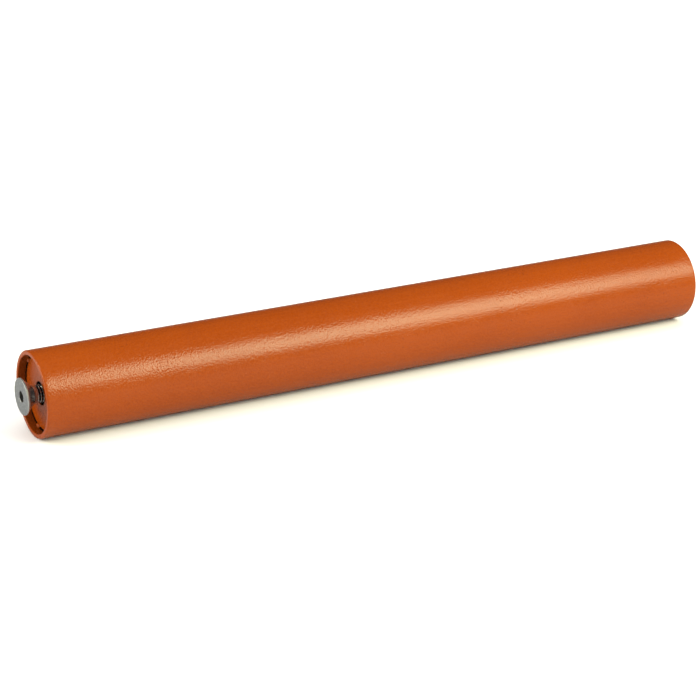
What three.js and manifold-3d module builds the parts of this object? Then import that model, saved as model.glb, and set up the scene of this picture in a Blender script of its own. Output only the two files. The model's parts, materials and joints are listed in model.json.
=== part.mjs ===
// A free-running hand roller: a painted steel tube drum that spins on a fixed axle.
// Each end holds a ball bearing in a pressed-in hub, behind a disc tack-welded into the tube,
// and the axle ends in a countersunk socket screw that clamps the cheek of a frame.
//
// Millimetres. +X runs along the roller's axis, +Z is up, and the origin is the middle of the drum.
// Every piece of one end is built at the +X end, and the -X end is the same set turned half round about Z.

import * as THREE from "three";
import { mergeVertices } from "three/addons/utils/BufferGeometryUtils.js";
import Module from "manifold-3d";

const wasm = await Module();
wasm.setup();

// ---- Driving dimensions -------------------------------------------------------------------------

const DRUM_LENGTH = 420;
const TUBE_RADIUS = 48.3 / 2; // 1 1/2 inch steel tube
const TUBE_WALL = 2.6;
const RIM_ROUNDING = 0.9; // outer edge of the rim, rounded under the paint
const RIM_BREAK = 0.4; // inner edge of the rim

const DISC_RECESS = 4.7; // from the rim to the front of the end disc
const DISC_THICKNESS = 3;
const DISC_GAP = 1.25; // open ring between the disc and the tube
const DISC_HOLE_RADIUS = 6.5;

const WELD_LENGTH = 5; // along the edge of the disc
const WELD_WIDTH = 3.6; // across the gap
const WELD_HEIGHT = 3; // along the axis
const WELD_ANGLES_LEFT = [43.6, -76.4, 163.6]; // degrees about +X, from +Y towards +Z
const WELD_ANGLES_RIGHT = [90, 210, 330];

const BEARING_BORE_RADIUS = 7.5; // 15 x 35 x 11 mm deep-groove ball bearing
const BEARING_OUTER_RADIUS = 17.5;
const BEARING_WIDTH = 11;
const BALL_COUNT = 8;
const BALL_RADIUS = 5.95 / 2;
const BALL_PITCH_RADIUS = 12.5;
const RACE_CLEARANCE = 0.13;
const INNER_RING_RADIUS = 10.85;
const OUTER_RING_INSIDE_RADIUS = 14.9;
const CAGE_THICKNESS = 1.6;
const CAGE_WIDTH = 7.8;
const POCKET_CLEARANCE = 0.2;
const SHIELD_THICKNESS = 0.6;
const SHIELD_INSET = 0.3; // below the bearing's face

const HUB_LENGTH = 15;
const HUB_LIP_LENGTH = 2.1; // shoulder that the bearing's outer ring stops against
const HUB_LIP_RADIUS = 15;
const BEARING_INSET = 1.6; // bearing face below the hub's front

const AXLE_END_GAP = 1.1; // behind the end disc
const AXLE_CHAMFER = 0.8;
const RETAINER_THICKNESS = 1;
const RETAINER_GROOVE_DEPTH = 0.35;
const RETAINER_WIDTH = 2.4;
const RETAINER_MOUTH = 36; // degrees left open in the retaining ring

const SCREW_RADIUS = 5; // M10
const SCREW_LENGTH = 35;
const SCREW_HEAD_RADIUS = 10.3;
const SCREW_HEAD_EDGE = 1; // straight edge above the 90 degree cone
const SCREW_HEAD_STANDOFF = 6; // from the rim of the tube to the face of the head
const SCREW_TIP_CHAMFER = 1;
const SOCKET_ACROSS_FLATS = 6;
const SOCKET_DEPTH = 4;
const SOCKET_CHAMFER = 0.35;
const TAP_CLEARANCE = 0.2;
const TAP_SPARE_DEPTH = 5;

const FIT = 0.15; // gap between pieces that touch in the real roller
const TOUCH = 0.3; // gap between faces that rest on each other

const DRUM_SEGMENTS = 48;
const RING_SEGMENTS = 32;
const ROD_SEGMENTS = 24;
const RACE_STEPS = 4; // straight lines in a race's groove
const RIM_STEPS = 3;
const BALL_SEGMENTS = 12;
const BALL_RINGS = 6;
const POCKET_SEGMENTS = 10;
const WELD_SEGMENTS = 10;
const WELD_RINGS = 6;
const RETAINER_STEPS = 18;

const CUT_SPARE = 1; // how far a cutting tool reaches past what it cuts
const MERGE_DISTANCE = 1e-4;

// ---- Worked-out places, measured from the middle of the drum -------------------------------------

const rimX = DRUM_LENGTH / 2;
const boreRadius = TUBE_RADIUS - TUBE_WALL;
const discFrontX = rimX - DISC_RECESS;
const discBackX = discFrontX - DISC_THICKNESS;
const discRadius = boreRadius - DISC_GAP;
const hubFrontX = discBackX - TOUCH;
const hubBackX = hubFrontX - HUB_LENGTH;
const hubRadius = boreRadius - FIT;
const bearingFrontX = hubFrontX - BEARING_INSET;
const bearingX = bearingFrontX - BEARING_WIDTH / 2;
const bearingBackX = bearingFrontX - BEARING_WIDTH;
const raceRadius = BALL_RADIUS + RACE_CLEARANCE;
const axleRadius = BEARING_BORE_RADIUS - FIT;
const axleEndX = discBackX - AXLE_END_GAP;
const retainerFrontX = bearingBackX - TOUCH;
const retainerBackX = retainerFrontX - RETAINER_THICKNESS;
const grooveRadius = axleRadius - RETAINER_GROOVE_DEPTH;
const headFaceX = rimX + SCREW_HEAD_STANDOFF;
const headConeX = headFaceX - SCREW_HEAD_EDGE;
const shankX = headConeX - (SCREW_HEAD_RADIUS - SCREW_RADIUS);
const screwTipX = headFaceX - SCREW_LENGTH;
const tapRadius = SCREW_RADIUS + TAP_CLEARANCE;
const tapEndX = screwTipX - TAP_SPARE_DEPTH;

// ---- Materials ----------------------------------------------------------------------------------

const finish = (name, color, roughness, metalness) =>
  new THREE.MeshStandardMaterial({ name, color, roughness, metalness });

const ORANGE_PAINT = finish("orange_paint", 0xb74f1b, 0.42, 0);
const ZINC = finish("zinc_plate", 0x9a9b9c, 0.5, 1);
const BRIGHT_STEEL = finish("bright_steel", 0x8d8f92, 0.35, 1);
const BEARING_STEEL = finish("bearing_steel", 0xc4c6c8, 0.15, 1);
const CAGE_STEEL = finish("cage_steel", 0xa09a8c, 0.35, 1);
const BLACK_STEEL = finish("black_steel", 0x2a2927, 0.5, 1);

// ---- Shape helpers ------------------------------------------------------------------------------

// A solid turned about the X axis. The outline is a list of [x, radius] points that closes on
// itself, or starts and ends on the axis, with the solid on its left seen with +X to the right.
// A facet, and not an edge, lies at the very bottom.
function turned(outline, segments) {
  const points = outline.map(([x, radius]) => new THREE.Vector2(radius, x));
  const closed = outline[0][1] > 0;
  if (closed) points.push(points[0].clone());
  const halfFacet = Math.PI / segments;
  return new THREE.LatheGeometry(points.reverse(), segments, halfFacet).rotateZ(-Math.PI / 2);
}

// A plain ring, as an outline for turned().
const ringOutline = (startX, endX, insideRadius, outsideRadius) => [
  [startX, insideRadius],
  [endX, insideRadius],
  [endX, outsideRadius],
  [startX, outsideRadius],
];

// Points of an arc in the [x, radius] plane, angles in degrees from +X towards +radius.
function arc(centreX, centreRadius, radius, startDeg, endDeg, steps) {
  return Array.from({ length: steps + 1 }, (_, i) => {
    const angle = THREE.MathUtils.degToRad(startDeg + ((endDeg - startDeg) * i) / steps);
    return [centreX + radius * Math.cos(angle), centreRadius + radius * Math.sin(angle)];
  });
}

function toSolid(geometry) {
  const bare = new THREE.BufferGeometry().setAttribute("position", geometry.getAttribute("position"));
  if (geometry.index) bare.setIndex(geometry.index);
  const merged = mergeVertices(bare, MERGE_DISTANCE);
  return new wasm.Manifold(
    new wasm.Mesh({
      numProp: 3,
      vertProperties: merged.attributes.position.array,
      triVerts: new Uint32Array(merged.index.array),
    }),
  );
}

function toGeometry(solid) {
  const mesh = solid.getMesh();
  const geometry = new THREE.BufferGeometry();
  geometry.setAttribute("position", new THREE.BufferAttribute(mesh.vertProperties, mesh.numProp));
  geometry.setIndex(new THREE.BufferAttribute(mesh.triVerts, 1));
  return geometry;
}

function cut(geometry, ...tools) {
  const solid = tools.reduce((left, tool) => left.subtract(toSolid(tool)), toSolid(geometry));
  return toGeometry(solid);
}

function piece(name, geometry, material) {
  const mesh = new THREE.Mesh(geometry, material);
  mesh.name = name;
  return mesh;
}

// ---- Drum ---------------------------------------------------------------------------------------

function drumTube() {
  const rounding = RIM_ROUNDING;
  const outside = TUBE_RADIUS - rounding;
  return turned(
    [
      [-rimX + RIM_BREAK, boreRadius],
      [rimX - RIM_BREAK, boreRadius],
      [rimX, boreRadius + RIM_BREAK],
      ...arc(rimX - rounding, outside, rounding, 0, 90, RIM_STEPS),
      ...arc(-rimX + rounding, outside, rounding, 90, 180, RIM_STEPS),
      [-rimX, boreRadius + RIM_BREAK],
    ],
    DRUM_SEGMENTS,
  );
}

const endDisc = () =>
  turned(ringOutline(discBackX, discFrontX, DISC_HOLE_RADIUS, discRadius), DRUM_SEGMENTS);

// A tack weld: a lump over the front edge of the disc, hollowed where the disc and the tube are.
function tackWeld(angleDeg) {
  const lump = new THREE.SphereGeometry(1 / 2, WELD_SEGMENTS, WELD_RINGS);
  lump.scale(WELD_HEIGHT, WELD_LENGTH, WELD_WIDTH);
  lump.translate(discFrontX, 0, discRadius + DISC_GAP / 2);
  lump.rotateX(THREE.MathUtils.degToRad(angleDeg - 90));
  const disc = turned(
    ringOutline(discBackX - TOUCH, discFrontX + TOUCH, DISC_HOLE_RADIUS, discRadius + TOUCH),
    DRUM_SEGMENTS,
  );
  const tube = turned(
    ringOutline(hubBackX, rimX, boreRadius - TOUCH, TUBE_RADIUS + CUT_SPARE),
    DRUM_SEGMENTS,
  );
  return cut(lump, disc, tube);
}

const bearingHub = () =>
  turned(
    [
      [hubBackX, HUB_LIP_RADIUS],
      [hubBackX + HUB_LIP_LENGTH, HUB_LIP_RADIUS],
      [hubBackX + HUB_LIP_LENGTH, BEARING_OUTER_RADIUS + FIT],
      [hubFrontX, BEARING_OUTER_RADIUS + FIT],
      [hubFrontX, hubRadius],
      [hubBackX, hubRadius],
    ],
    RING_SEGMENTS,
  );

// ---- Ball bearing -------------------------------------------------------------------------------

// Half the width of the groove that a race leaves at a ring's shoulder.
function raceHalfWidth(shoulderRadius) {
  const height = BALL_PITCH_RADIUS - shoulderRadius;
  return Math.sqrt(raceRadius ** 2 - height ** 2);
}

function outerRing() {
  const half = raceHalfWidth(OUTER_RING_INSIDE_RADIUS);
  const rise = OUTER_RING_INSIDE_RADIUS - BALL_PITCH_RADIUS;
  const edge = THREE.MathUtils.radToDeg(Math.atan2(rise, half));
  return turned(
    [
      [bearingBackX, OUTER_RING_INSIDE_RADIUS],
      ...arc(bearingX, BALL_PITCH_RADIUS, raceRadius, 180 - edge, edge, RACE_STEPS),
      [bearingFrontX, OUTER_RING_INSIDE_RADIUS],
      [bearingFrontX, BEARING_OUTER_RADIUS],
      [bearingBackX, BEARING_OUTER_RADIUS],
    ],
    RING_SEGMENTS,
  );
}

function innerRing() {
  const half = raceHalfWidth(INNER_RING_RADIUS);
  const drop = BALL_PITCH_RADIUS - INNER_RING_RADIUS;
  const edge = THREE.MathUtils.radToDeg(Math.atan2(drop, half));
  return turned(
    [
      [bearingBackX, BEARING_BORE_RADIUS],
      [bearingFrontX, BEARING_BORE_RADIUS],
      [bearingFrontX, INNER_RING_RADIUS],
      ...arc(bearingX, BALL_PITCH_RADIUS, raceRadius, -edge, edge - 180, RACE_STEPS),
      [bearingBackX, INNER_RING_RADIUS],
    ],
    RING_SEGMENTS,
  );
}

// Moves a shape built on the X axis out to a ball's place on the pitch circle.
function toBallPlace(geometry, index) {
  geometry.translate(bearingX, 0, BALL_PITCH_RADIUS);
  return geometry.rotateX((2 * Math.PI * index) / BALL_COUNT);
}

const ball = (index) =>
  toBallPlace(new THREE.SphereGeometry(BALL_RADIUS, BALL_SEGMENTS, BALL_RINGS), index);

function ballCage() {
  const inside = BALL_PITCH_RADIUS - CAGE_THICKNESS / 2;
  const band = turned(
    ringOutline(bearingX - CAGE_WIDTH / 2, bearingX + CAGE_WIDTH / 2, inside, inside + CAGE_THICKNESS),
    RING_SEGMENTS,
  );
  const pocketRadius = BALL_RADIUS + POCKET_CLEARANCE;
  const pocketLength = CAGE_THICKNESS + 4 * CUT_SPARE;
  const pockets = Array.from({ length: BALL_COUNT }, (_, index) => {
    const pocket = new THREE.CylinderGeometry(pocketRadius, pocketRadius, pocketLength, POCKET_SEGMENTS);
    return toBallPlace(pocket.rotateX(Math.PI / 2), index);
  });
  return cut(band, ...pockets);
}

// A thin washer that covers the balls, held by the outer ring and clear of the inner one.
function shield(faceX, inward) {
  const near = faceX + inward * SHIELD_INSET;
  const far = near + inward * SHIELD_THICKNESS;
  const inside = INNER_RING_RADIUS + FIT;
  const outside = OUTER_RING_INSIDE_RADIUS - FIT;
  return turned(ringOutline(Math.min(near, far), Math.max(near, far), inside, outside), RING_SEGMENTS);
}

// ---- Axle, retaining rings and screws -----------------------------------------------------------

function axle() {
  const halfOutline = [
    [tapEndX - tapRadius / 2, 0],
    [tapEndX, tapRadius],
    [axleEndX, tapRadius],
    [axleEndX, axleRadius - AXLE_CHAMFER],
    [axleEndX - AXLE_CHAMFER, axleRadius],
    [retainerFrontX + FIT, axleRadius],
    [retainerFrontX + FIT, grooveRadius],
    [retainerBackX - FIT, grooveRadius],
    [retainerBackX - FIT, axleRadius],
  ];
  const otherHalf = halfOutline.map(([x, radius]) => [-x, radius]).reverse();
  return turned([...halfOutline, ...otherHalf], ROD_SEGMENTS);
}

// A C-shaped snap ring in the axle's groove, mouth up, that keeps the bearing from sliding inwards.
function retainingRing() {
  const inside = grooveRadius + FIT;
  const outside = axleRadius + RETAINER_WIDTH;
  const mouth = THREE.MathUtils.degToRad(RETAINER_MOUTH / 2);
  const outline = new THREE.Shape();
  outline.absarc(0, 0, outside, mouth, 2 * Math.PI - mouth, false);
  outline.absarc(0, 0, inside, 2 * Math.PI - mouth, mouth, true);
  const plate = new THREE.ExtrudeGeometry(outline, {
    depth: RETAINER_THICKNESS,
    bevelEnabled: false,
    curveSegments: RETAINER_STEPS,
  });
  return plate.rotateY(-Math.PI / 2).translate(retainerFrontX, 0, 0);
}

function endScrew() {
  const body = turned(
    [
      [screwTipX, 0],
      [screwTipX, SCREW_RADIUS - SCREW_TIP_CHAMFER],
      [screwTipX + SCREW_TIP_CHAMFER, SCREW_RADIUS],
      [shankX, SCREW_RADIUS],
      [headConeX, SCREW_HEAD_RADIUS],
      [headFaceX, SCREW_HEAD_RADIUS],
      [headFaceX, 0],
    ].reverse(),
    ROD_SEGMENTS,
  );
  const cornerRadius = SOCKET_ACROSS_FLATS / Math.sqrt(3);
  const socket = new THREE.CylinderGeometry(cornerRadius, cornerRadius, 2 * SOCKET_DEPTH, 6)
    .rotateZ(-Math.PI / 2)
    .translate(headFaceX, 0, 0);
  const chamfer = turned(
    [
      [headFaceX - SOCKET_CHAMFER, 0],
      [headFaceX - SOCKET_CHAMFER, cornerRadius - SOCKET_CHAMFER],
      [headFaceX + SOCKET_CHAMFER, cornerRadius + SOCKET_CHAMFER],
      [headFaceX + SOCKET_CHAMFER, 0],
    ].reverse(),
    ROD_SEGMENTS,
  );
  return cut(body, socket, chamfer);
}

// ---- Assembly -----------------------------------------------------------------------------------

function rollerEnd(side, weldAngles) {
  const end = new THREE.Group();
  const add = (name, geometry, material) => end.add(piece(`${side}_${name}`, geometry, material));
  add("end_disc", endDisc(), ORANGE_PAINT);
  weldAngles.forEach((angle, i) => add(`tack_weld_${i + 1}`, tackWeld(angle), ORANGE_PAINT));
  add("bearing_hub", bearingHub(), BLACK_STEEL);
  add("bearing_outer_ring", outerRing(), BEARING_STEEL);
  add("bearing_inner_ring", innerRing(), BEARING_STEEL);
  add("ball_cage", ballCage(), CAGE_STEEL);
  for (let i = 0; i < BALL_COUNT; i += 1) add(`ball_${i + 1}`, ball(i), BEARING_STEEL);
  add("outer_shield", shield(bearingFrontX, -1), ZINC);
  add("inner_shield", shield(bearingBackX, 1), ZINC);
  add("retaining_ring", retainingRing(), BLACK_STEEL);
  add("end_screw", endScrew(), ZINC);
  return end;
}

const roller = new THREE.Group();
roller.add(piece("drum_tube", drumTube(), ORANGE_PAINT));
roller.add(piece("axle", axle(), BRIGHT_STEEL));
roller.add(rollerEnd("right", WELD_ANGLES_RIGHT));

// Turned half round about Z, an angle about +X becomes its opposite: 180 degrees less the angle.
const leftEnd = rollerEnd("left", WELD_ANGLES_LEFT.map((angle) => 180 - angle));
leftEnd.rotation.z = Math.PI;
roller.add(leftEnd);

export default roller;
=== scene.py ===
"""A painted steel hand roller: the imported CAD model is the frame, with fine meshes and materials round it.

Metres, +X along the spin axis, +Z up. Each end is made at +X and the -X end is turned half round about Z.
"""
import json
import math

import bmesh
import bpy
from mathutils import Matrix, Vector, noise


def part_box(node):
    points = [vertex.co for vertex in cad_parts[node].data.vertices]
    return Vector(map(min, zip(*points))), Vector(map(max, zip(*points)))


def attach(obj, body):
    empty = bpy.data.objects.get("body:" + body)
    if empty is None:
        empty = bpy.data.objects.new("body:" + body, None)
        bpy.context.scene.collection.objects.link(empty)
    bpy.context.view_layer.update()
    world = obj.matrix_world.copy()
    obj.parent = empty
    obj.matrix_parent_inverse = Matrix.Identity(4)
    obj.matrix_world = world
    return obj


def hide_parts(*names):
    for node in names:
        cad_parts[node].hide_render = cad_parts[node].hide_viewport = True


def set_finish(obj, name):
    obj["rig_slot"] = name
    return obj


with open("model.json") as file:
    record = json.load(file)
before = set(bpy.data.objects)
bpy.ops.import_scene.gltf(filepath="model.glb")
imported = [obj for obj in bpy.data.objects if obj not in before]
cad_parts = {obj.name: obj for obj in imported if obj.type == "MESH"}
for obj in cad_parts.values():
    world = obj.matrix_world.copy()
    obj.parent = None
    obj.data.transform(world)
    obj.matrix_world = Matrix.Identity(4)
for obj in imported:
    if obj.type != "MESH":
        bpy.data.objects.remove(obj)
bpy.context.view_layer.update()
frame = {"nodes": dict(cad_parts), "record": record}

MM = 0.001


# ---- Places and sizes from the frame ---------------------------------------------------------------

tube_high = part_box("drum_tube")[1]
disc_low, disc_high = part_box("right_end_disc")
screw_low, screw_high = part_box("right_end_screw")

DRUM_RADIUS = min(tube_high.y, tube_high.z)  # the CAD tube's flats, so nothing stands out of its box
RIM_X = tube_high.x
WALL = 2.6 * MM
BORE_RADIUS = DRUM_RADIUS - WALL

DISC_FRONT_X = disc_high.x
DISC_BACK_X = disc_low.x
DISC_RADIUS = min(disc_high.y, disc_high.z)
DISC_HOLE_RADIUS = 6.5 * MM

HEAD_FACE_X = screw_high.x
HEAD_RADIUS = min(screw_high.y, screw_high.z)
HEAD_EDGE = 1.0 * MM  # the straight rim between the head's face and its cone
CONE_TOP_X = HEAD_FACE_X - HEAD_EDGE
SCREW_TIP_X = screw_low.x
THREAD_RADIUS = 4.95 * MM
THREAD_PITCH = 1.5 * MM
THREAD_DEPTH = 0.87 * MM
SOCKET_ACROSS_FLATS = 6 * MM
SOCKET_DEPTH = 3.9 * MM

LEFT_WELDS = (43.6, -76.4, 163.6)  # degrees about +X, from +Y towards +Z
RIGHT_WELDS = (90, 210, 330)


# ---- Mesh helpers ----------------------------------------------------------------------------------

def placed(name, data):
    """A new object in the scene."""
    obj = bpy.data.objects.new(name, data)
    bpy.context.scene.collection.objects.link(obj)
    return obj


def piece(name, verts, faces, body, nodes, slot):
    """A smooth mesh that rides on a CAD body and stands for CAD nodes."""
    mesh = bpy.data.meshes.new(name)
    mesh.from_pydata([tuple(v) for v in verts], [], faces)
    mesh.validate()
    bm = bmesh.new()
    bm.from_mesh(mesh)
    bmesh.ops.recalc_face_normals(bm, faces=bm.faces)
    bm.to_mesh(mesh)
    bm.free()
    for polygon in mesh.polygons:
        polygon.use_smooth = True
    obj = placed(name, mesh)
    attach(obj, body)
    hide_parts(*nodes)
    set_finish(obj, slot)
    return obj


def sharpen(obj, degrees):
    """Marks edges sharper than an angle, so that smooth shading keeps their line."""
    bm = bmesh.new()
    bm.from_mesh(obj.data)
    limit = math.radians(degrees)
    for edge in bm.edges:
        if len(edge.link_faces) == 2:
            edge.smooth = edge.calc_face_angle(0) < limit
    bm.to_mesh(obj.data)
    bm.free()


def mark(obj, name, amount):
    """Gives each point of a mesh a number from 0 to 1 for its material. amount takes |x| and r."""
    layer = obj.data.attributes.new(name, "FLOAT", "POINT")
    for point, vertex in zip(layer.data, obj.data.vertices):
        x, y, z = vertex.co
        point.value = amount(abs(x), math.hypot(y, z))


def ramp(value, low, high):
    """0 up to low, 1 from high on, and straight between."""
    return min(max((value - low) / (high - low), 0), 1)


def stretch(start, end, count):
    """count points from start up to but not including end."""
    return [start + (end - start) * i / count for i in range(count)]


def around(x, r, angle):
    """The point at a distance r from the X axis and an angle about it."""
    return Vector((x, r * math.cos(angle), r * math.sin(angle)))


def turned(side, verts):
    """Points of an end made at +X, turned half round about Z for the left side."""
    if side == "right":
        return verts
    turn = Matrix.Rotation(math.pi, 4, "Z")
    return [turn @ Vector(v) for v in verts]


def rounded(points, radii, steps=6):
    """The closed line through (x, r) points, with its corners rounded by the radii given."""
    out = []
    n = len(points)
    for i, (p, radius) in enumerate(zip(points, radii)):
        here = Vector(p)
        if radius <= 0:
            out.append(here)
            continue
        before = (Vector(points[i - 1]) - here).normalized()
        after = (Vector(points[(i + 1) % n]) - here).normalized()
        half = before.angle(after) / 2
        reach = radius / math.tan(half)
        centre = here + (before + after).normalized() * (radius / math.sin(half))
        start = here + before * reach - centre
        end = here + after * reach - centre
        first = math.atan2(start.y, start.x)
        sweep = (math.atan2(end.y, end.x) - first + math.pi) % (2 * math.pi) - math.pi
        for k in range(steps + 1):
            angle = first + sweep * k / steps
            out.append(centre + radius * Vector((math.cos(angle), math.sin(angle))))
    return out


def subdivided(outline, longest, wanted):
    """The closed outline with its long sides cut up where wanted(point) says so."""
    out = []
    for i, p in enumerate(outline):
        q = outline[(i + 1) % len(outline)]
        out.append(p)
        length = (q - p).length
        if length > longest and wanted((p + q) / 2):
            count = math.ceil(length / longest)
            out += [p.lerp(q, k / count) for k in range(1, count)]
    return out


def revolve(outline, segments, wobble=None):
    """Verts and faces of a closed (x, r) outline turned about X."""
    verts, faces = [], []
    n = len(outline)
    for s in range(segments):
        angle = 2 * math.pi * s / segments
        for x, r in outline:
            verts.append(around(x, r if wobble is None else r + wobble(x, r, angle), angle))
    for s in range(segments):
        t = (s + 1) % segments
        for i in range(n):
            j = (i + 1) % n
            faces.append((s * n + i, s * n + j, t * n + j, t * n + i))
    return verts, faces


def skin(rings, segments):
    """Verts and faces over rings of (x, radius at an angle) about X, with a point closing each end."""
    verts, faces = [], []
    n = segments
    for x, radius in rings:
        for s in range(n):
            angle = 2 * math.pi * s / n
            verts.append(around(x, radius(angle), angle))
    for k in range(len(rings) - 1):
        for s in range(n):
            t = (s + 1) % n
            faces.append((k * n + s, k * n + t, (k + 1) * n + t, (k + 1) * n + s))
    for ring in (0, len(rings) - 1):
        hub = len(verts)
        verts.append(Vector((rings[ring][0], 0, 0)))
        for s in range(n):
            t = (s + 1) % n
            faces.append((ring * n + t, ring * n + s, hub))
    return verts, faces


def sphere(fineness, radius):
    """Verts and faces of a ball made of even triangles."""
    bm = bmesh.new()
    bmesh.ops.create_icosphere(bm, subdivisions=fineness, radius=radius)
    bm.verts.index_update()
    verts = [v.co.copy() for v in bm.verts]
    faces = [[v.index for v in face.verts] for face in bm.faces]
    bm.free()
    return verts, faces


# ---- Drum ------------------------------------------------------------------------------------------

DRUM_SEGMENTS = 192
DRUM_STEP = 2.2 * MM
RIM_ROUNDING = 0.9 * MM
RIM_BREAK = 0.45 * MM
WAVE_HEIGHT = 0.018 * MM
WAVE_LENGTH = 90 * MM  # of the drawn tube's ripples along the axis
WAVES_ROUND = 3.2
WAVE_SKIN = 0.3 * MM  # only points this near the outside take the ripples
BORE_END_LENGTH = 12 * MM  # the stretch of bore at each end that is finely divided
BORE_END_STEPS = 46
BORE_STEPS = 24
BORE_BARE_AND_SHADE_SPAN = (-0.25 * MM, 0.05 * MM)  # behind the disc's front, where the bore turns near black: bare steel, and painted shade in the narrow gap
RECESS_SHADE_SPAN = (0.4 * MM, 0.9 * MM)  # behind the rim, where painted shade on the recess wall begins
RECESS_SHADE = 0.4  # how dark the painted shade on the recess wall gets


def drum_wave(x, r, angle):
    """Shallow ripples of a drawn tube, long in the axis and short round it, only ever inwards."""
    if r < DRUM_RADIUS - WAVE_SKIN:
        return 0
    return WAVE_HEIGHT * (noise.noise(around(x / WAVE_LENGTH, WAVES_ROUND, angle)) - 1)


def make_drum():
    """The tube with its rounded rims, open right through."""
    corners = [(-RIM_X, BORE_RADIUS), (RIM_X, BORE_RADIUS), (RIM_X, DRUM_RADIUS), (-RIM_X, DRUM_RADIUS)]
    outline = rounded(corners, [RIM_BREAK, RIM_BREAK, RIM_ROUNDING, RIM_ROUNDING])
    middle_radius = (BORE_RADIUS + DRUM_RADIUS) / 2
    outline = subdivided(outline, DRUM_STEP, lambda p: p.y > middle_radius)
    deep = RIM_X - BORE_END_LENGTH
    edge = RIM_X - RIM_BREAK
    inner = [p for p in outline if p.y < middle_radius and abs(p.x) > deep]
    outer = [p for p in outline if p.y >= middle_radius]
    left = [p for p in inner if p.x < 0]
    right = [p for p in inner if p.x > 0]
    places = stretch(-edge, -deep, BORE_END_STEPS)[1:] + stretch(-deep, deep, BORE_STEPS)
    places += stretch(deep, edge, BORE_END_STEPS)
    bore = [Vector((x, BORE_RADIUS)) for x in places]
    verts, faces = revolve(left + bore + right + outer, DRUM_SEGMENTS, drum_wave)
    obj = piece("drum_shell", verts, faces, "drum", ["drum_tube"], "orange_paint")

    # Painted shade: the recess wall darkens, and the bore behind the disc's front goes near black as bare
    # steel in shade.
    def bare_and_shade(x, r):
        if r >= middle_radius:
            return 0
        return max(ramp(DISC_FRONT_X - x, *BORE_BARE_AND_SHADE_SPAN), RECESS_SHADE * ramp(RIM_X - x, *RECESS_SHADE_SPAN))

    mark(obj, "bare_and_shade", bare_and_shade)
    return obj


# ---- End discs -------------------------------------------------------------------------------------

DISC_SEGMENTS = 160
DISC_STEP = 1.0 * MM
DISC_ROUNDING_STEPS = 4
DISC_HOLE_EDGE = 0.3 * MM
DISC_EDGE = 0.35 * MM
DISC_BACK_EDGE = 0.2 * MM
DISC_BARE_AND_SHADE_SPAN = (0.15 * MM, 0.45 * MM)  # behind the front, where the disc's edge turns near black: bare steel, painted as in shade
CUT_HEIGHT = 0.03 * MM  # of the unevenness round the disc's cut edge
CUT_SCALE = 300  # per metre of the disc's thickness
CUTS_ROUND = 9
CUT_SKIN = 0.2 * MM  # only points this near the edge take it


def disc_cut(x, r, angle):
    """The slight unevenness of the disc's cut edge."""
    if r <= DISC_RADIUS - CUT_SKIN:
        return 0
    return CUT_HEIGHT * noise.noise(around(x * CUT_SCALE, CUTS_ROUND, angle))


def make_disc(side):
    """The disc set back in the tube, with its round hole."""
    corners = [
        (DISC_BACK_X, DISC_HOLE_RADIUS),
        (DISC_FRONT_X, DISC_HOLE_RADIUS),
        (DISC_FRONT_X, DISC_RADIUS),
        (DISC_BACK_X, DISC_RADIUS),
    ]
    radii = [DISC_BACK_EDGE, DISC_HOLE_EDGE, DISC_EDGE, DISC_BACK_EDGE]
    outline = subdivided(rounded(corners, radii, DISC_ROUNDING_STEPS), DISC_STEP, lambda p: True)
    verts, faces = revolve(outline, DISC_SEGMENTS, disc_cut)
    verts = turned(side, verts)
    obj = piece(f"{side}_end_plate", verts, faces, "drum", [f"{side}_end_disc"], "orange_paint")
    # Painted shade: the disc's edge and back go near black, bare steel in the shaded gap.
    mark(obj, "bare_and_shade", lambda x, r: ramp(DISC_FRONT_X - x, *DISC_BARE_AND_SHADE_SPAN))
    return obj


# ---- Tack welds ------------------------------------------------------------------------------------

WELD_LENGTH = 3.5 * MM
WELD_HEIGHT = 2.2 * MM
WELD_WIDTH = 2.6 * MM
WELD_FINENESS = 5
WELD_PLACE = 0.35  # share of the gap between disc and tube to the weld's middle
WELD_BITE = 0.4 * MM  # how far a weld may run into the tube's wall
WELD_SEEDS = {"left": 5.1, "right": 11.9}
WELD_SEED_STEP = 7.3
LUMP_HEIGHT = 0.16  # of lumps, grains and ripples, as shares of the weld's size
LUMP_SCALE = 1.9
GRAIN_HEIGHT = 0.05
GRAIN_SCALE = 6
RIPPLE_HEIGHT = 0.035
RIPPLE_SCALE = 16
RIPPLE_SHIFT = 2  # radians from one weld to the next


def make_weld(side, number, degrees):
    """A lumpy bead across the ring between disc and tube, its skirt flowing onto both."""
    outwards = 1 if side == "right" else -1
    seed = Vector((number * WELD_SEED_STEP, WELD_SEEDS[side], 0))
    middle_radius = DISC_RADIUS + WELD_PLACE * (BORE_RADIUS - DISC_RADIUS)
    turn = Matrix.Rotation(math.radians(degrees - 90), 4, "X")  # from +Z, where the weld is made

    def melted(p):
        n = p.normalized()
        lump = 1 + LUMP_HEIGHT * noise.noise(n * LUMP_SCALE + seed)
        lump += GRAIN_HEIGHT * noise.noise(n * GRAIN_SCALE + seed)
        ripple = 1 + RIPPLE_HEIGHT * math.cos(RIPPLE_SCALE * n.y + RIPPLE_SHIFT * number)
        x = DISC_FRONT_X + p.x * lump * WELD_HEIGHT * ripple
        y = p.y * lump * WELD_LENGTH
        z = p.z * lump * WELD_WIDTH + middle_radius
        held = min((BORE_RADIUS + WELD_BITE) / math.hypot(y, z), 1)
        return turn @ Vector((outwards * x, y * held, z * held))

    verts, faces = sphere(WELD_FINENESS, 0.5)  # 1 across, to be stretched to the weld's full size
    name = f"{side}_weld_bead_{number}"
    nodes = [f"{side}_tack_weld_{number}"]
    return piece(name, [melted(p) for p in verts], faces, "drum", nodes, "orange_paint")


# ---- Countersunk screws ----------------------------------------------------------------------------

SCREW_SEGMENTS = 144
HARD_EDGE = 38  # degrees

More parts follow.
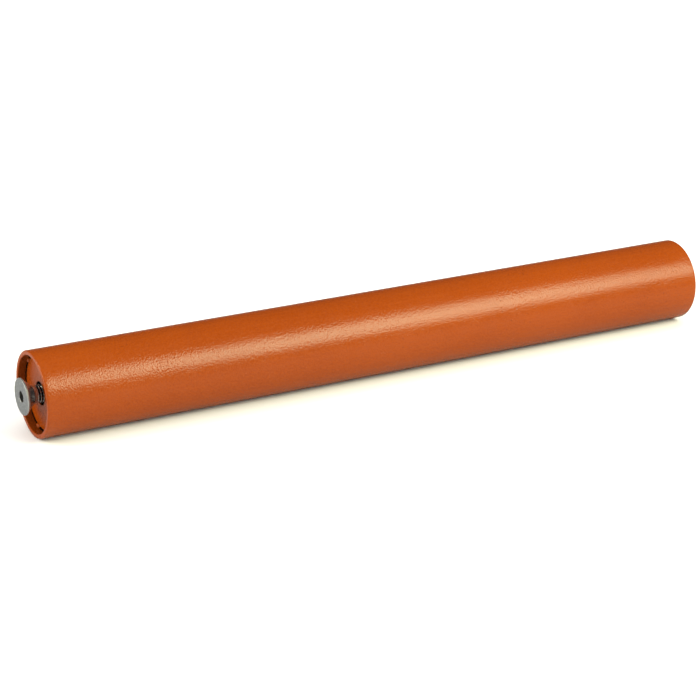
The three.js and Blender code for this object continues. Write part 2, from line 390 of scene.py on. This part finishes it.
SOCKET_MOUTH = 3.7 * MM  # radius that holds the hexagon's mouth
SOCKET_CHAMFER = 0.2 * MM
SOCKET_CORNER = 0.12 * MM  # rounding in the hexagon's corners
SOCKET_SHOULDER = 0.06 * MM  # from the hexagon's wall to the drilled bottom under it
SOCKET_WALL_RINGS = (0.66, 0.33)  # shares of the socket's depth
SOCKET_WALL_TOP = 0.5 * MM  # the wall's last ring, below the chamfer
MOUTH_RING = (0.04 * MM, 0.75)  # depth of a ring on the chamfer, and its share of the way out
DRILL_POINT = ((0.9 * MM, 0.02), (0.35 * MM, 0.6), (0, 0.97))  # (depth below the hexagon, share of its flat)

FACE_GAP = 0.3 * MM  # from the mouth to the first ring of the face
FACE_STEPS = 9
HEAD_ROUNDING = 0.32 * MM
HEAD_ROUNDING_STEPS = 6
RIM_SHARE = 0.7  # of the straight rim, down to its last full ring
RIM_FALL = (0.08 * MM, 0.03 * MM)  # a ring this far above the cone, and this much narrower

CONE_ANGLE = math.radians(45)
CONE_START = 0.02  # share of the cone from its top to its first ring
CONE_STEPS = 9
NECK_FILLET = 3.2 * MM  # the hollow radius where the cone runs into the shank
NECK_STEPS = 10

THREAD_STEPS = 14  # rings in one turn of the thread
THREAD_SHOWN = 16 * MM
THREAD_CREST = 0.18  # half a turn's share from the crest's middle to its edge
THREAD_ROOT = 0.86  # and to where the root begins
THREAD_FADE = 0.9 * THREAD_PITCH
THREAD_END = 0.3 * MM
TIP_LENGTH = 1.0 * MM
TIP_CHAMFER = 1.4 * MM

SOCKET_SHADE = (0.05 * MM, 0.5 * MM)  # depths below the face between which painted shade darkens the socket
SOCKET_SPARE = 0.02 * MM
EDGE_WIDTH = 0.3 * MM
SHANK_START = (-0.05 * MM, 0.25 * MM)  # depths below the cone's top between which the shank's finish begins
GROOVE_START = 4 * MM
GROOVE_SPARE = 0.05 * MM
GROOVE_SHARE = 0.6  # of the thread's depth, where the painted shade in a groove is at its darkest


def hexagon_radius(angle):
    """Distance from the axis to a hexagon's wall, with corners at +Z and a small rounding in them."""
    sixth = math.pi / 3
    inside = (angle - math.pi / 2 + sixth / 2) % sixth - sixth / 2
    flat = SOCKET_ACROSS_FLATS / 2
    wall = flat / math.cos(sixth / 2 - abs(inside))
    return min(wall, flat / math.cos(sixth / 2) - SOCKET_CORNER)


def thread_radius(x, angle, start_x):
    """Radius of a right-handed metric thread at a point, fading in from the head side."""
    turn = (x / THREAD_PITCH - angle / (2 * math.pi)) % 1
    cut = ramp(abs(2 * turn - 1), THREAD_CREST, THREAD_ROOT)
    return THREAD_RADIUS - THREAD_DEPTH * cut * ramp(start_x - x, 0, THREAD_FADE)


def socket_rings():
    """Rings of (x, radius at an angle) from the socket's bottom up to its mouth."""
    flat = SOCKET_ACROSS_FLATS / 2
    rings = []
    for depth, share in DRILL_POINT:
        rings.append((HEAD_FACE_X - SOCKET_DEPTH - depth, lambda angle, share=share: flat * share))
    depths = [SOCKET_DEPTH - SOCKET_SHOULDER]
    depths += [SOCKET_DEPTH * share for share in SOCKET_WALL_RINGS]
    depths += [SOCKET_CHAMFER + SOCKET_WALL_TOP, SOCKET_CHAMFER]
    for depth in depths:
        rings.append((HEAD_FACE_X - depth, hexagon_radius))
    for depth, share in (MOUTH_RING, (0, 1)):
        wider = share * SOCKET_CHAMFER
        rings.append((HEAD_FACE_X - depth, lambda angle, wider=wider: hexagon_radius(angle) + wider))
    return rings


def head_outline():
    """(x, r) points over the head and down the cone to the shank, and the x where the thread starts."""
    face = stretch(SOCKET_MOUTH + FACE_GAP, HEAD_RADIUS - HEAD_ROUNDING, FACE_STEPS)
    points = [(HEAD_FACE_X, r) for r in face]
    for k in range(HEAD_ROUNDING_STEPS + 1):
        turn = math.pi / 2 * k / HEAD_ROUNDING_STEPS
        x = HEAD_FACE_X - HEAD_ROUNDING * (1 - math.cos(turn))
        points.append((x, HEAD_RADIUS - HEAD_ROUNDING * (1 - math.sin(turn))))
    above, narrower = RIM_FALL
    points.append((HEAD_FACE_X - HEAD_EDGE * RIM_SHARE, HEAD_RADIUS))
    points.append((CONE_TOP_X + above, HEAD_RADIUS - narrower))
    cone = HEAD_RADIUS - THREAD_RADIUS
    reach = NECK_FILLET * math.tan(CONE_ANGLE / 2)
    for t in stretch(CONE_START, 1 - reach * math.cos(CONE_ANGLE) / cone, CONE_STEPS):
        points.append((CONE_TOP_X - cone * t, HEAD_RADIUS - cone * t))
    start = CONE_TOP_X - cone - reach
    for turn in stretch(-CONE_ANGLE, -math.pi / 2, NECK_STEPS):
        r = THREAD_RADIUS + NECK_FILLET * (1 + math.sin(turn))
        points.append((start + NECK_FILLET * math.cos(turn), r))
    return points, start


def screw_rings():
    """Rings of (x, radius at an angle) from the socket's bottom, over the head and down to the tip."""
    outline, start = head_outline()
    rings = socket_rings()
    for x, r in outline:
        rings.append((x, lambda angle, r=r: r))
    step = THREAD_PITCH / THREAD_STEPS
    for k in range(int(THREAD_SHOWN / step)):
        x = start - k * step
        rings.append((x, lambda angle, x=x: thread_radius(x, angle, start)))
    rings.append((start - THREAD_SHOWN - THREAD_END, lambda angle: THREAD_RADIUS - THREAD_DEPTH))
    rings.append((SCREW_TIP_X + TIP_LENGTH, lambda angle: THREAD_RADIUS - THREAD_DEPTH))
    rings.append((SCREW_TIP_X, lambda angle: THREAD_RADIUS - TIP_CHAMFER))
    return rings


def make_screw(side):
    """A countersunk screw with a hexagon socket, and the marks that its zinc finish reads, painted shade in
    socket and grooves among them.
    """
    verts, faces = skin(screw_rings(), SCREW_SEGMENTS)
    verts = turned(side, verts)
    nodes = [f"{side}_end_screw"]
    obj = piece(f"{side}_socket_screw", verts, faces, "axle_assembly", nodes, "zinc_plate")
    sharpen(obj, HARD_EDGE)

    # Painted shade in the hexagon socket, darkening from its mouth down.
    def deep(x, r):
        inside = r < SOCKET_MOUTH + SOCKET_SPARE and x > CONE_TOP_X - SOCKET_DEPTH
        return ramp(HEAD_FACE_X - x, *SOCKET_SHADE) if inside else 0

    # Painted shade in the thread's grooves, away from the head.
    def groove(x, r):
        cut = THREAD_RADIUS - GROOVE_SPARE - r
        return ramp(cut, 0, GROOVE_SHARE * THREAD_DEPTH) if x < CONE_TOP_X - GROOVE_START else 0

    mark(obj, "deep", deep)
    mark(obj, "edge", lambda x, r: ramp(r, HEAD_RADIUS - EDGE_WIDTH, HEAD_RADIUS))
    mark(obj, "shank", lambda x, r: ramp(CONE_TOP_X - x, *SHANK_START))
    mark(obj, "groove", groove)
    return obj


# ---- Hubs and bearings -----------------------------------------------------------------------------

RING_SEGMENTS = 96
RING_ROUNDING_STEPS = 4
RACE_STEPS = 20
RACE_RADIUS = 3.105 * MM
BALL_COUNT = 8
BALL_FINENESS = 4
BALL_RADIUS = 2.975 * MM
BALL_PITCH_RADIUS = 12.5 * MM
BEARING_BORE_RADIUS = 7.5 * MM
INNER_SHOULDER = 10.85 * MM
OUTER_SHOULDER = 14.9 * MM
SHOULDER_ROUNDING = 0.15 * MM
RING_ROUNDING = 0.6 * MM
SHIELD_HOLE_RADIUS = 11.0 * MM
SHIELD_ROUNDING = 0.2 * MM
HUB_SEAT_RADIUS = 17.65 * MM
HUB_LIP_RADIUS = 15.0 * MM
HUB_LIP_LENGTH = 2.1 * MM
HUB_STEP_ROUNDING = 0.2 * MM
HUB_INNER_ROUNDING = 0.4 * MM
HUB_OUTER_ROUNDING = 0.6 * MM


def race(centre_x, shoulder):
    """Points of the ball's groove in a ring, from its low-x shoulder to its high-x one."""
    way = 1 if shoulder > BALL_PITCH_RADIUS else -1
    edge = math.asin(abs(shoulder - BALL_PITCH_RADIUS) / RACE_RADIUS)
    points = []
    for k in range(RACE_STEPS + 1):
        angle = way * (math.pi - edge - (math.pi - 2 * edge) * k / RACE_STEPS)
        x = centre_x + RACE_RADIUS * math.cos(angle)
        points.append((x, BALL_PITCH_RADIUS + RACE_RADIUS * math.sin(angle)))
    return points


def bearing_ring(low_x, high_x, shoulder, far):
    """Outline of a bearing ring from its shoulder to its far face, the bore or the outside."""
    groove = race((low_x + high_x) / 2, shoulder)
    points = [(low_x, shoulder), *groove, (high_x, shoulder), (high_x, far), (low_x, far)]
    sharp = [0] * len(groove)
    radii = [SHOULDER_ROUNDING, *sharp, SHOULDER_ROUNDING, RING_ROUNDING, RING_ROUNDING]
    return rounded(points, radii, RING_ROUNDING_STEPS)


def shield_outline(low, high):
    """Outline of the flat washer that covers one side of a bearing."""
    inside = SHIELD_HOLE_RADIUS
    corners = [(low.x, inside), (high.x, inside), (high.x, high.y), (low.x, high.y)]
    return rounded(corners, [SHIELD_ROUNDING] * len(corners), RING_ROUNDING_STEPS)


def hub_outline(low, high):
    """Outline of the hub: a lip on its low-x side, then the bearing's seat."""
    step_x = low.x + HUB_LIP_LENGTH
    corners = (
        (low.x, HUB_LIP_RADIUS, HUB_INNER_ROUNDING),
        (step_x, HUB_LIP_RADIUS, HUB_STEP_ROUNDING),
        (step_x, HUB_SEAT_RADIUS, HUB_STEP_ROUNDING),
        (high.x, HUB_SEAT_RADIUS, HUB_INNER_ROUNDING),
        (high.x, high.y, HUB_OUTER_ROUNDING),
        (low.x, high.y, HUB_OUTER_ROUNDING),
    )
    points = [(x, r) for x, r, rounding in corners]
    return rounded(points, [rounding for x, r, rounding in corners], RING_ROUNDING_STEPS)


def make_ring(side, name, node, outline, body, slot):
    """A turned ring of one end's bearing or hub."""
    verts, faces = revolve(outline, RING_SEGMENTS)
    return piece(f"{side}_{name}", turned(side, verts), faces, body, [f"{side}_{node}"], slot)


def make_ball(side, number):
    """One bearing ball, at its CAD node's place."""
    low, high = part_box(f"{side}_ball_{number}")
    verts, faces = sphere(BALL_FINENESS, BALL_RADIUS)
    verts = [v + (low + high) / 2 for v in verts]
    name = f"{side}_steel_ball_{number}"
    body = f"{side}_rolling_ball_{number}"
    return piece(name, verts, faces, body, [f"{side}_ball_{number}"], "bearing_steel")


def make_bearing(side):
    """One end's hub, bearing rings, shields and balls, all hidden behind the end disc."""
    hub = hub_outline(*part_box("right_bearing_hub"))
    low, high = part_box("right_bearing_outer_ring")
    outer = bearing_ring(low.x, high.x, OUTER_SHOULDER, high.y)
    inner = bearing_ring(low.x, high.x, INNER_SHOULDER, BEARING_BORE_RADIUS)
    pieces = [
        make_ring(side, "hub_casting", "bearing_hub", hub, "drum", "black_steel"),
        make_ring(side, "outer_race", "bearing_outer_ring", outer, "drum", "bearing_steel"),
        make_ring(side, "inner_race", "bearing_inner_ring", inner, "axle_assembly", "bearing_steel"),
    ]
    for name in ("outer_shield", "inner_shield"):
        outline = shield_outline(*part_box(f"right_{name}"))
        pieces.append(make_ring(side, f"{name}_plate", name, outline, "drum", "zinc_plate"))
    return pieces + [make_ball(side, number + 1) for number in range(BALL_COUNT)]


# ---- Writing a node material -----------------------------------------------------------------------

class Shader:
    """A short way to write a node material. Scales are per metre of the object."""

    def __init__(self, name):
        self.material = bpy.data.materials.new(name)
        self.material.use_nodes = True
        self.tree = self.material.node_tree
        self.bsdf = self.tree.nodes["Principled BSDF"]
        coordinates = self.tree.nodes.new("ShaderNodeTexCoord")
        self.place = coordinates.outputs["Object"]

    def node(self, kind, **settings):
        made = self.tree.nodes.new(kind)
        for key, value in settings.items():
            setattr(made, key, value)
        return made

    def feed(self, socket, value):
        """Links a node's output to a socket, or sets a plain value on it."""
        if isinstance(value, bpy.types.NodeSocket):
            self.tree.links.new(value, socket)
        else:
            socket.default_value = value

    def stretched(self, factors):
        """The place on the object, with each axis multiplied by its factor."""
        if factors is None:
            return self.place
        made = self.node("ShaderNodeMapping")
        self.feed(made.inputs["Vector"], self.place)
        self.feed(made.inputs["Scale"], factors)
        return made.outputs["Vector"]

    def noise(self, scale, detail=3, roughness=0.55, factors=None):
        made = self.node("ShaderNodeTexNoise")
        self.feed(made.inputs["Vector"], self.stretched(factors))
        self.feed(made.inputs["Scale"], scale)
        self.feed(made.inputs["Detail"], detail)
        self.feed(made.inputs["Roughness"], roughness)
        return made.outputs["Fac"]

    def cells(self, scale, feature="F1", factors=None):
        made = self.node("ShaderNodeTexVoronoi", feature=feature)
        self.feed(made.inputs["Vector"], self.stretched(factors))
        self.feed(made.inputs["Scale"], scale)
        return made

    def cell_number(self, cells):
        """A random number from 0 to 1 that each cell keeps."""
        split = self.node("ShaderNodeSeparateColor")
        self.feed(split.inputs[0], cells.outputs["Color"])
        return split.outputs[0]

    def dots(self, scale, rarity, size, factors=None):
        """Soft round dots, 1 in the middle, in the cells whose number is above rarity. size is in cells."""
        cells = self.cells(scale, factors=factors)
        few = self.math("GREATER_THAN", self.cell_number(cells), rarity)
        return self.math("MULTIPLY", self.between(cells.outputs["Distance"], 0, size, 1, 0), few)

    def math(self, operation, a, b):
        made = self.node("ShaderNodeMath", operation=operation)
        self.feed(made.inputs[0], a)
        self.feed(made.inputs[1], b)
        return made.outputs[0]

    def part(self, value, share):
        """value times share."""
        return self.math("MULTIPLY", value, share)

    def between(self, value, low, high, to_low=0.0, to_high=1.0):
        """value's stretch from low to high, brought onto to_low to to_high and held there."""
        made = self.node("ShaderNodeMapRange")
        self.feed(made.inputs["Value"], value)
        self.feed(made.inputs["From Min"], low)
        self.feed(made.inputs["From Max"], high)
        self.feed(made.inputs["To Min"], to_low)
        self.feed(made.inputs["To Max"], to_high)
        return made.outputs["Result"]

    def blend(self, share, a, b):
        """Colour a where share is 0 and b where it is 1."""
        made = self.node("ShaderNodeMix", data_type="RGBA")
        self.feed(made.inputs[0], share)
        for socket, colour in ((made.inputs[6], a), (made.inputs[7], b)):
            self.feed(socket, colour if isinstance(colour, bpy.types.NodeSocket) else (*colour, 1))
        return made.outputs[2]

    def attribute(self, name):
        """A number that mark() gave to each point."""
        return self.node("ShaderNodeAttribute", attribute_name=name).outputs["Fac"]

    def bump(self, height, distance, before=None):
        """The normal over a height of 0 to 1 that stands distance high, on top of the normal before."""
        made = self.node("ShaderNodeBump")
        self.feed(made.inputs["Strength"], 1)
        self.feed(made.inputs["Height"], height)
        self.feed(made.inputs["Distance"], distance)
        if before is not None:
            self.feed(made.inputs["Normal"], before)
        return made.outputs["Normal"]

    def specular(self, level):
        self.feed(self.bsdf.inputs["Specular IOR Level"], level)

    def finish(self, colour, roughness, normal, metallic=0.0):
        self.feed(self.bsdf.inputs["Base Color"], colour)
        self.feed(self.bsdf.inputs["Roughness"], roughness)
        self.feed(self.bsdf.inputs["Normal"], normal)
        self.feed(self.bsdf.inputs["Metallic"], metallic)
        return self.material


# ---- Orange paint ----------------------------------------------------------------------------------

ORANGE = (0.254, 0.0405, 0.0006)
ORANGE_DEEP = (0.229, 0.0350, 0.0004)
ORANGE_PALE = (0.290, 0.0520, 0.0035)
PEEL_MOTTLE_AND_SHEEN = (0.290, 0.0510, 0.0012)
PEEL_MOTTLE_AND_SHADE = (0.198, 0.0290, 0.0004)
SCRATCH_PALE = (0.42, 0.13, 0.03)
PIT_BROWN = (0.12, 0.025, 0.006)
BARE_AND_SHADE_DARK = (0.006, 0.004, 0.003)
ALONG_THE_DRUM = (0.035, 1, 1)
PEEL_HEIGHT = 0.21 * MM
STREAK_HEIGHT = 0.05 * MM
DENT_DEPTH = 0.12 * MM
HAIRLINE_WIDTH = 0.0026  # in cells
PAINT_SPECULAR = 0.36


def orange_paint(name):
    """Gloss paint with an orange-peel grain, faint streaks, pits, nibs and scratches; bare steel and painted
    shade in the recesses.
    """
    s = Shader(name)
    streak = s.noise(420, 2, factors=ALONG_THE_DRUM)
    colour = s.blend(s.between(s.noise(14, 3), 0.35, 0.68), ORANGE_DEEP, ORANGE)
    colour = s.blend(s.between(streak, 0.5, 0.8, 0, 0.3), colour, ORANGE_PALE)

    pits = s.dots(70, 0.75, 0.05)
    nibs = s.dots(48, 0.8, 0.03, (1, 1, 1.3))
    worn = s.between(s.noise(17, 2), 0.6, 0.68)
    pocks = s.math("MULTIPLY", s.dots(430, 0.55, 0.34), worn)
    colour = s.blend(s.part(pits, 0.5), colour, PIT_BROWN)
    colour = s.blend(s.part(nibs, 0.25), colour, ORANGE_PALE)
    colour = s.blend(s.part(pocks, 0.5), colour, PIT_BROWN)

    edges = s.cells(11, "DISTANCE_TO_EDGE", (1, 0.7, 0.7)).outputs["Distance"]
    hairline = s.between(edges, 0, HAIRLINE_WIDTH, 1, 0)
    scratch = s.math("MULTIPLY", hairline, s.between(s.noise(26, 1), 0.63, 0.69))
    colour = s.blend(s.part(scratch, 0.26), colour, SCRATCH_PALE)

    peel = s.noise(1000, 2, 0.5)
    # Paler on the peel's crests and darker in its hollows: partly a fine mottle of the paint, partly painted
    # highlight grain and painted shade.
    colour = s.blend(s.between(peel, 0.42, 0.66, 0, 0.45), colour, PEEL_MOTTLE_AND_SHEEN)
    colour = s.blend(s.between(peel, 0.42, 0.28, 0, 0.35), colour, PEEL_MOTTLE_AND_SHADE)
    # Near black where bare steel lies in shade, and darker on the recess wall: painted shade.
    colour = s.blend(s.attribute("bare_and_shade"), colour, BARE_AND_SHADE_DARK)

    dents = s.math("ADD", s.math("ADD", pits, pocks), s.part(scratch, 0.3))
    normal = s.bump(peel, PEEL_HEIGHT)
    normal = s.bump(streak, STREAK_HEIGHT, normal)
    normal = s.bump(s.math("SUBTRACT", nibs, dents), DENT_DEPTH, normal)
    cloudy = s.between(s.noise(120, 3), 0.3, 0.7, 0.12, 0.18)
    roughness = s.math("ADD", cloudy, s.between(peel, 0.3, 0.7, 0, 0.1))
    s.specular(PAINT_SPECULAR)
    return s.finish(colour, roughness, normal)


# ---- Metals ----------------------------------------------------------------------------------------

ZINC_DARK = (0.26, 0.272, 0.288)
ZINC_LIGHT = (0.50, 0.522, 0.562)
ZINC_PATCH = (0.28, 0.29, 0.31)
SHANK_GREY = (0.52, 0.50, 0.48)
EDGE_BRIGHT = (0.66, 0.70, 0.71)
SOCKET_PAINTED_SHADE = (0.20, 0.19, 0.175)
GROOVE_PAINTED_SHADE = (0.008, 0.008, 0.009)
ZINC_METALLIC = 0.92
ZINC_GRAIN = 0.13 * MM
ZINC_DIMPLES = 0.08 * MM

ROUND_THE_AXIS = (1, 0.04, 0.04)
TOOL_MARKS = 0.02 * MM
STAIN = 0.55  # share of the light colour that a stain keeps

OXIDE_BLACK = (0.012, 0.011, 0.010)
OXIDE_BLOOM = (0.045, 0.034, 0.026)
OXIDE_GRAIN = 0.04 * MM
OXIDE_METALLIC = 0.7


def zinc_plate(name):
    """Dull zinc, mottled on the head's face, smoother on the cone and thread, with painted shade in socket
    and grooves.
    """
    s = Shader(name)
    shank = s.attribute("shank")
    deep = s.attribute("deep")
    colour = s.blend(s.between(s.noise(1000, 4, 0.75), 0.42, 0.62), ZINC_DARK, ZINC_LIGHT)
    colour = s.blend(s.between(s.noise(260, 3), 0.45, 0.7, 0, 0.35), colour, ZINC_PATCH)
    colour = s.blend(s.part(shank, 0.85), colour, SHANK_GREY)
    colour = s.blend(s.attribute("edge"), colour, EDGE_BRIGHT)
    # Painted shade in the socket.
    colour = s.blend(deep, colour, SOCKET_PAINTED_SHADE)
    # Painted shade in the thread's grooves.
    colour = s.blend(s.attribute("groove"), colour, GROOVE_PAINTED_SHADE)

    flat = s.math("SUBTRACT", 1.0, s.part(shank, 0.95))
    normal = s.bump(s.math("MULTIPLY", s.noise(1100, 4, 0.65), flat), ZINC_GRAIN)
    normal = s.bump(s.math("MULTIPLY", s.noise(520, 2), flat), ZINC_DIMPLES, normal)
    dull = s.between(s.noise(800, 3), 0.3, 0.7, 0.4, 0.56)
    roughness = s.math("SUBTRACT", dull, s.part(shank, 0.27))
    roughness = s.math("ADD", roughness, s.part(deep, 0.2))
    return s.finish(colour, roughness, normal, ZINC_METALLIC)


def machined_steel(name, colour, smooth, rough, ring_scale=900):
    """Turned steel: fine rings round the axis, with a little stain."""
    s = Shader(name)
    stained = tuple(STAIN * c for c in colour)
    mixed = s.blend(s.between(s.noise(90, 4), 0.4, 0.72, 0, 0.6), colour, stained)
    normal = s.bump(s.noise(ring_scale, 2, factors=ROUND_THE_AXIS), TOOL_MARKS)
    roughness = s.between(s.noise(300, 3), 0.3, 0.7, smooth, rough)
    return s.finish(mixed, roughness, normal, 1.0)


def hub_black(name):
    """Black oxide with a dry, slightly brown bloom."""
    s = Shader(name)
    bloom = s.noise(160, 4)
    colour = s.blend(s.between(bloom, 0.4, 0.7), OXIDE_BLACK, OXIDE_BLOOM)
    normal = s.bump(s.noise(1400, 3), OXIDE_GRAIN)
    return s.finish(colour, s.between(bloom, 0.3, 0.7, 0.42, 0.62), normal, OXIDE_METALLIC)


# ---- Floor -----------------------------------------------------------------------------------------

FLOOR_HALF = 4.0
FLOOR_SEGMENTS = 8
PAPER_DIM = (0.86, 0.86, 0.86)
PAPER_BRIGHT = (0.88, 0.88, 0.88)
PAPER_GRAIN = 0.02 * MM
PAPER_ROUGHNESS = 0.9
PAPER_SPECULAR = 0.1
FLOOR_IN_MIRROR = (0.33, 0.33, 0.33)  # as gloss reflects it, like a darker studio round white paper


def floor_paper(name):
    """White paper with a faint grain, darker where gloss reflects it."""
    s = Shader(name)
    colour = s.blend(s.between(s.noise(3, 2), 0.3, 0.7), PAPER_DIM, PAPER_BRIGHT)
    mirrored = s.node("ShaderNodeLightPath").outputs["Is Glossy Ray"]
    colour = s.blend(mirrored, colour, FLOOR_IN_MIRROR)
    s.specular(PAPER_SPECULAR)
    return s.finish(colour, PAPER_ROUGHNESS, s.bump(s.noise(400, 2), PAPER_GRAIN))


def make_floor():
    """A level floor that touches the drum's underside."""
    bm = bmesh.new()
    bmesh.ops.create_grid(bm, x_segments=FLOOR_SEGMENTS, y_segments=FLOOR_SEGMENTS, size=FLOOR_HALF)
    mesh = bpy.data.meshes.new("floor")
    bm.to_mesh(mesh)
    bm.free()
    floor = placed("floor", mesh)
    floor.location.z = -DRUM_RADIUS
    mesh.materials.append(floor_paper("floor_paper"))


# ---- World and lights ------------------------------------------------------------------------------

STUDIO_STRENGTH = 1.45
MIRRORED_STRENGTH = 0.09  # as gloss reflects the studio
BEHIND_SHARE = 0.38  # of the studio's brightness, straight behind the roller

KEY_DISTANCE = 1.5
KEY_HIGH = math.radians(39.5)  # above level, seen along the roller
KEY_ALONG = 0.449  # the +X part of the key light's direction
KEY_SIZE = (1.0, 0.78)
KEY_RADIANCE = 9.8
KEY_TINT = (0.93, 1.0, 0.64)

FILL_PLACE = (-1.5, 0.45, 0.6)
FILL_SIZE = (0.8, 0.8)
FILL_RADIANCE = 8.0
FILL_TINT = (1.0, 0.93, 0.72)


def make_world():
    """A white studio, a little darker behind the roller and much dimmer where gloss reflects it."""
    world = bpy.data.worlds.new("studio")
    world.use_nodes = True
    tree = world.node_tree
    background = tree.nodes["Background"]
    background.inputs["Color"].default_value = (1, 1, 1, 1)
    ray = tree.nodes.new("ShaderNodeLightPath")
    level = tree.nodes.new("ShaderNodeMapRange")
    level.inputs["To Min"].default_value = STUDIO_STRENGTH
    level.inputs["To Max"].default_value = MIRRORED_STRENGTH
    tree.links.new(ray.outputs["Is Glossy Ray"], level.inputs["Value"])
    direction = tree.nodes.new("ShaderNodeTexCoord")
    towards = tree.nodes.new("ShaderNodeSeparateXYZ")
    tree.links.new(direction.outputs["Generated"], towards.inputs[0])
    behind = tree.nodes.new("ShaderNodeMapRange")
    behind.inputs["To Min"].default_value = 1
    behind.inputs["To Max"].default_value = BEHIND_SHARE
    tree.links.new(towards.outputs["Y"], behind.inputs["Value"])
    both = tree.nodes.new("ShaderNodeMath")
    both.operation = "MULTIPLY"
    tree.links.new(level.outputs["Result"], both.inputs[0])
    tree.links.new(behind.outputs["Result"], both.inputs[1])
    tree.links.new(both.outputs[0], background.inputs["Strength"])
    bpy.context.scene.world = world


def soft_light(name, place, aim, size, radiance, tint):
    """A softbox at place facing aim, its width level. radiance is its own brightness before the tint."""
    width, height = size
    data = bpy.data.lights.new(name, "AREA")
    data.shape = "RECTANGLE"
    data.size = width
    data.size_y = height
    data.color = tint
    data.energy = radiance * math.pi * width * height
    light = placed(name, data)
    light.location = place
    light.rotation_euler = (Vector(place) - Vector(aim)).to_track_quat("Z", "Y").to_euler()


def make_lights():
    """A key softbox above and in front of the roller, and a fill beyond its left end."""
    across = math.sqrt(1 - KEY_ALONG**2)
    direction = Vector((KEY_ALONG, -across * math.cos(KEY_HIGH), across * math.sin(KEY_HIGH)))
    soft_light("key", KEY_DISTANCE * direction, (0, 0, 0), KEY_SIZE, KEY_RADIANCE, KEY_TINT)
    soft_light("left_fill", FILL_PLACE, (-RIM_X, 0, 0), FILL_SIZE, FILL_RADIANCE, FILL_TINT)


# ---- Camera ----------------------------------------------------------------------------------------

CAMERA_PLACE = Vector((-583.2, -1042.2, 420.8)) * MM
CAMERA_RIGHT = Vector((0.8788, -0.4773, 0.0))
CAMERA_BACK = Vector((-0.4489, -0.8264, 0.3399))
CAMERA_LENS = 113.14
CAMERA_SENSOR = 36
CAMERA_NEAREST = 0.05
CAMERA_FARTHEST = 20


def make_camera():
    """The photo's viewpoint, in front of the left end and a little above it."""
    data = bpy.data.cameras.new("camera")
    data.sensor_width = CAMERA_SENSOR
    data.lens = CAMERA_LENS
    data.clip_start = CAMERA_NEAREST
    data.clip_end = CAMERA_FARTHEST
    camera = placed("camera", data)
    back = CAMERA_BACK.normalized()
    right = (CAMERA_RIGHT - CAMERA_RIGHT.dot(back) * back).normalized()
    turn = Matrix((right, back.cross(right), back)).transposed()
    camera.matrix_world = Matrix.Translation(CAMERA_PLACE) @ turn.to_4x4()
    bpy.context.scene.camera = camera


# ---- Assembly --------------------------------------------------------------------------------------

make_camera()
make_floor()
make_world()
make_lights()

finishes = {
    "orange_paint": orange_paint("orange_gloss"),
    "zinc_plate": zinc_plate("dull_zinc"),
    "bright_steel": machined_steel("turned_steel", (0.42, 0.43, 0.44), 0.24, 0.4),
    "bearing_steel": machined_steel("ground_steel", (0.66, 0.67, 0.68), 0.08, 0.18, 1800),
    "cage_steel": machined_steel("pressed_steel", (0.45, 0.42, 0.36), 0.3, 0.45, 500),
    "black_steel": hub_black("black_oxide"),
}

made = [make_drum()]
for side, angles in (("left", LEFT_WELDS), ("right", RIGHT_WELDS)):
    made.append(make_disc(side))
    made += [make_weld(side, number + 1, angle) for number, angle in enumerate(angles)]
    made.append(make_screw(side))
    made += make_bearing(side)

slot_of = {row["node"]: row["material_slot"] for row in frame["record"]["subparts"]}
for node, obj in frame["nodes"].items():
    obj.data.materials.clear()
    obj.data.materials.append(finishes[slot_of[node]])
for obj in made:
    obj.data.materials.append(finishes[obj["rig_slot"]])

bpy.context.scene.view_settings.view_transform = "Standard"
